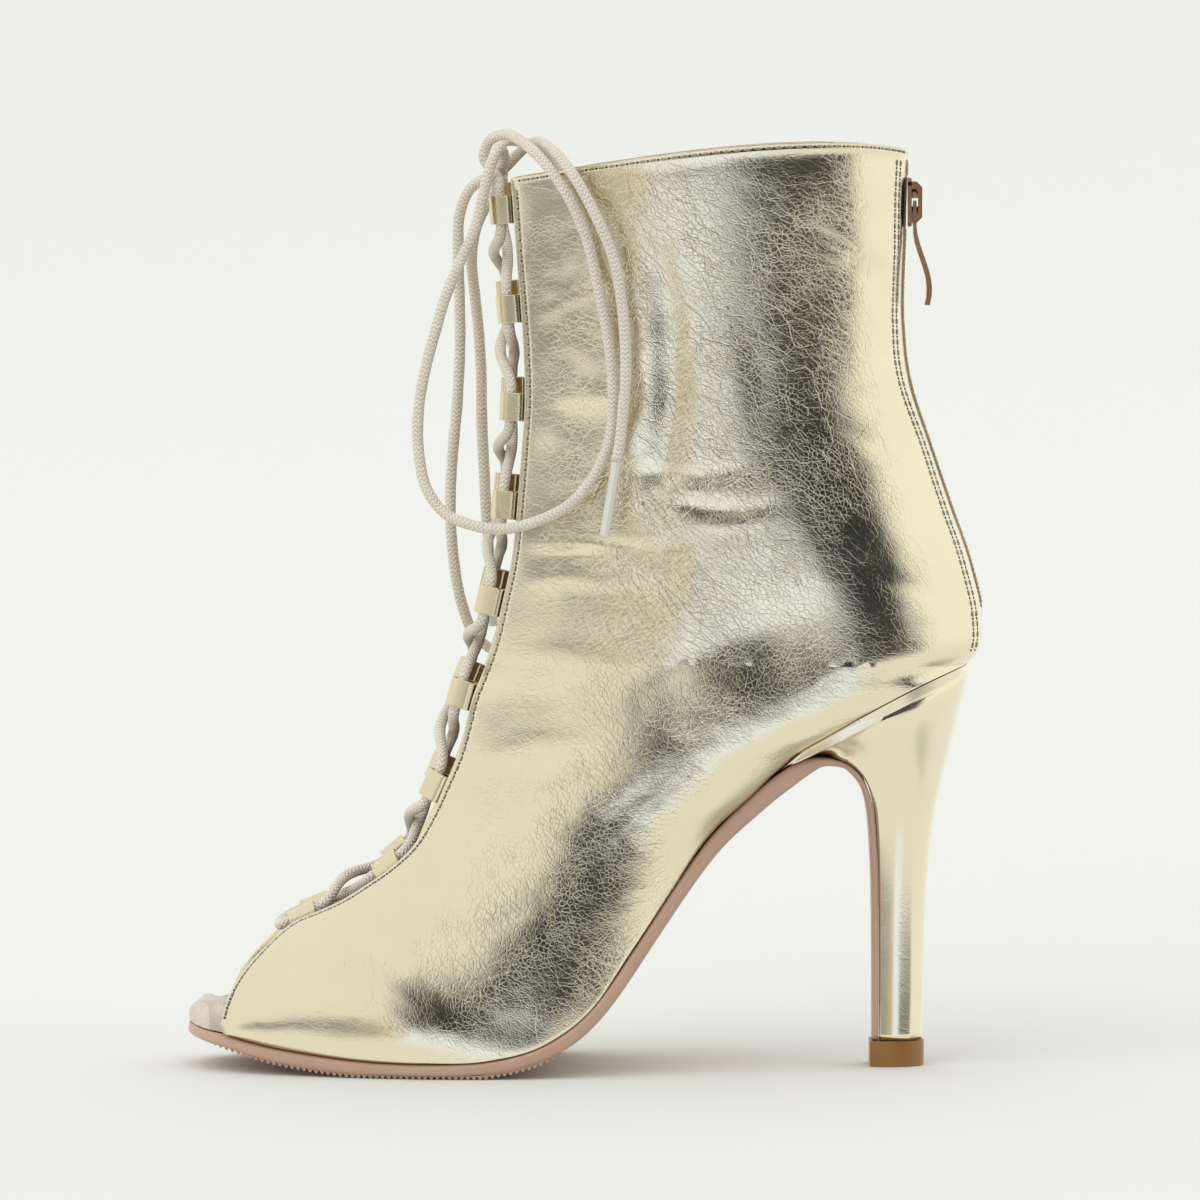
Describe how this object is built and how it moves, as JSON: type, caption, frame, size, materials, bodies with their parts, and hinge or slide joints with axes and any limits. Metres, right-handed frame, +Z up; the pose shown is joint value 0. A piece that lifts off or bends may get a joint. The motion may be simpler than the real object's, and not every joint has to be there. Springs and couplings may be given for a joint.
{
  "type": "lace-up peep-toe stiletto ankle boot",
  "caption": "Left ankle boot on a stiletto heel, open down the front from collar to toe, laced through leather loops, with a zip up the back.",
  "frame": {"origin": "on the floor under the middle of the boot's bounding box, cords left out", "axes": "+Z up, -X toward the toe, -Y the outer (lateral) side of the left foot"},
  "size_m": [0.2112, 0.078, 0.2481],
  "materials": {
    "gold_leather": "foil-coated champagne gold, crinkled, glossy",
    "nude_sole": "satin",
    "beige_suede": "napped, matt",
    "tan_tip": "satin",
    "rose_gold": "polished rose gold",
    "zip_cloth": "woven, matt",
    "cotton_cord": "braided cotton, matt",
    "clear_aglet": "milky, glossy"
  },
  "bodies": {
    "boot": {"upper": "gold_leather", "outsole": "nude_sole", "insole": "beige_suede", "heel": "gold_leather", "heel_tip": "tan_tip", "zip_chain": "rose_gold", "zip_tape": "zip_cloth", "zip_slider": "rose_gold", "lace_run": "cotton_cord", "lace_knot": "cotton_cord", "lace_bow_near": "cotton_cord", "lace_end_near": "cotton_cord", "lace_bow_far": "cotton_cord", "lace_end_far": "cotton_cord", "aglet_near": "clear_aglet", "aglet_far": "clear_aglet", "lace_loop_near_1": "gold_leather", "lace_loop_near_2": "gold_leather", "lace_loop_near_3": "gold_leather", "lace_loop_near_4": "gold_leather", "lace_loop_near_5": "gold_leather", "lace_loop_near_6": "gold_leather", "lace_loop_near_7": "gold_leather", "lace_loop_near_8": "gold_leather", "lace_loop_near_9": "gold_leather", "lace_loop_far_1": "gold_leather", "lace_loop_far_2": "gold_leather", "lace_loop_far_3": "gold_leather", "lace_loop_far_4": "gold_leather", "lace_loop_far_5": "gold_leather", "lace_loop_far_6": "gold_leather", "lace_loop_far_7": "gold_leather", "lace_loop_far_8": "gold_leather", "lace_loop_far_9": "gold_leather"},
    "pull": {"zip_pull": "rose_gold"}
  },
  "joints": [
    {"name": "pull_swing", "type": "hinge", "parent": "boot", "child": "pull", "pos_m": [0.08747, 0, 0.22926], "axis": [0, -1, 0], "range_deg": [0, 150]}
  ]
}
